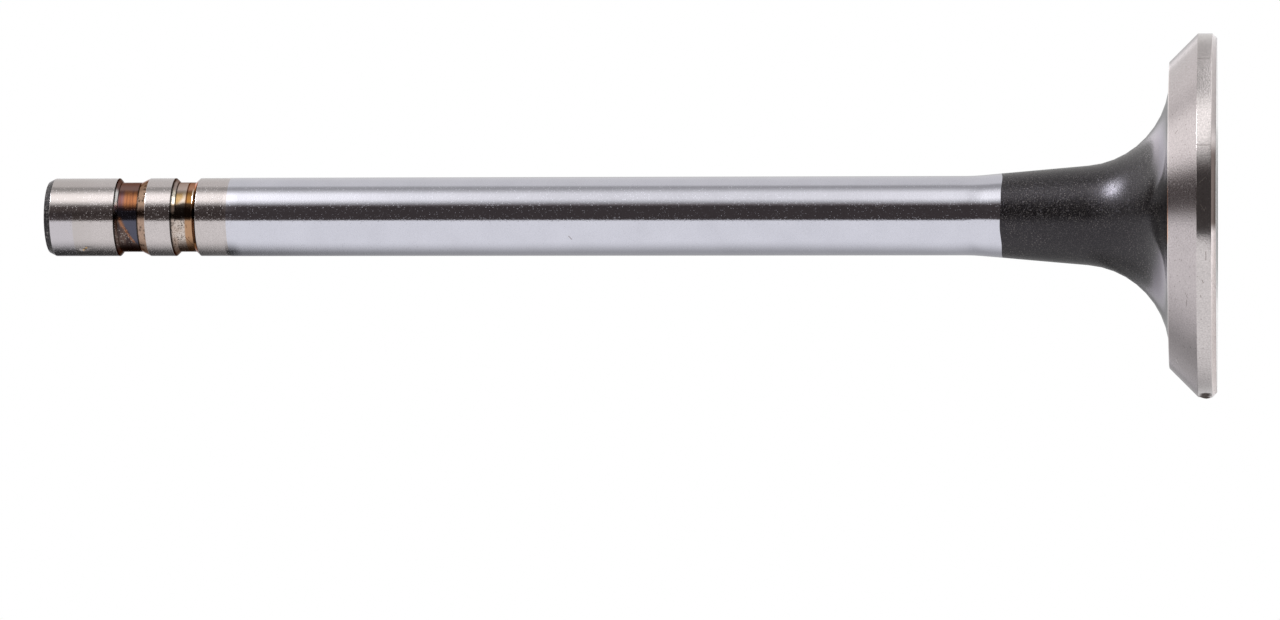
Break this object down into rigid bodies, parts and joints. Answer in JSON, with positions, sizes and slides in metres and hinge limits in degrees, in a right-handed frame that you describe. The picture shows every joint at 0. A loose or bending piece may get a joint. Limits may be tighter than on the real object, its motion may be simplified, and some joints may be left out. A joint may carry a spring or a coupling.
{
  "type": "engine valve",
  "caption": "Poppet valve with a flat recessed head, ground seat and rim, filleted black neck, chrome plated stem, keeper groove, ring groove and chamfered tip.",
  "frame": {"origin": "centre of the combustion face, in the plane that the valve stands on", "axes": "+Z along the stem's axis from the combustion face to the tip; the valve is round, so X and Y are free"},
  "size_m": [0.041, 0.041, 0.1338],
  "materials": {
    "valve_steel": "ground steel seat, rim and tip, hard chrome stem, black oxide neck and face"
  },
  "bodies": {
    "root": {"engine_valve": "valve_steel"}
  },
  "joints": []
}
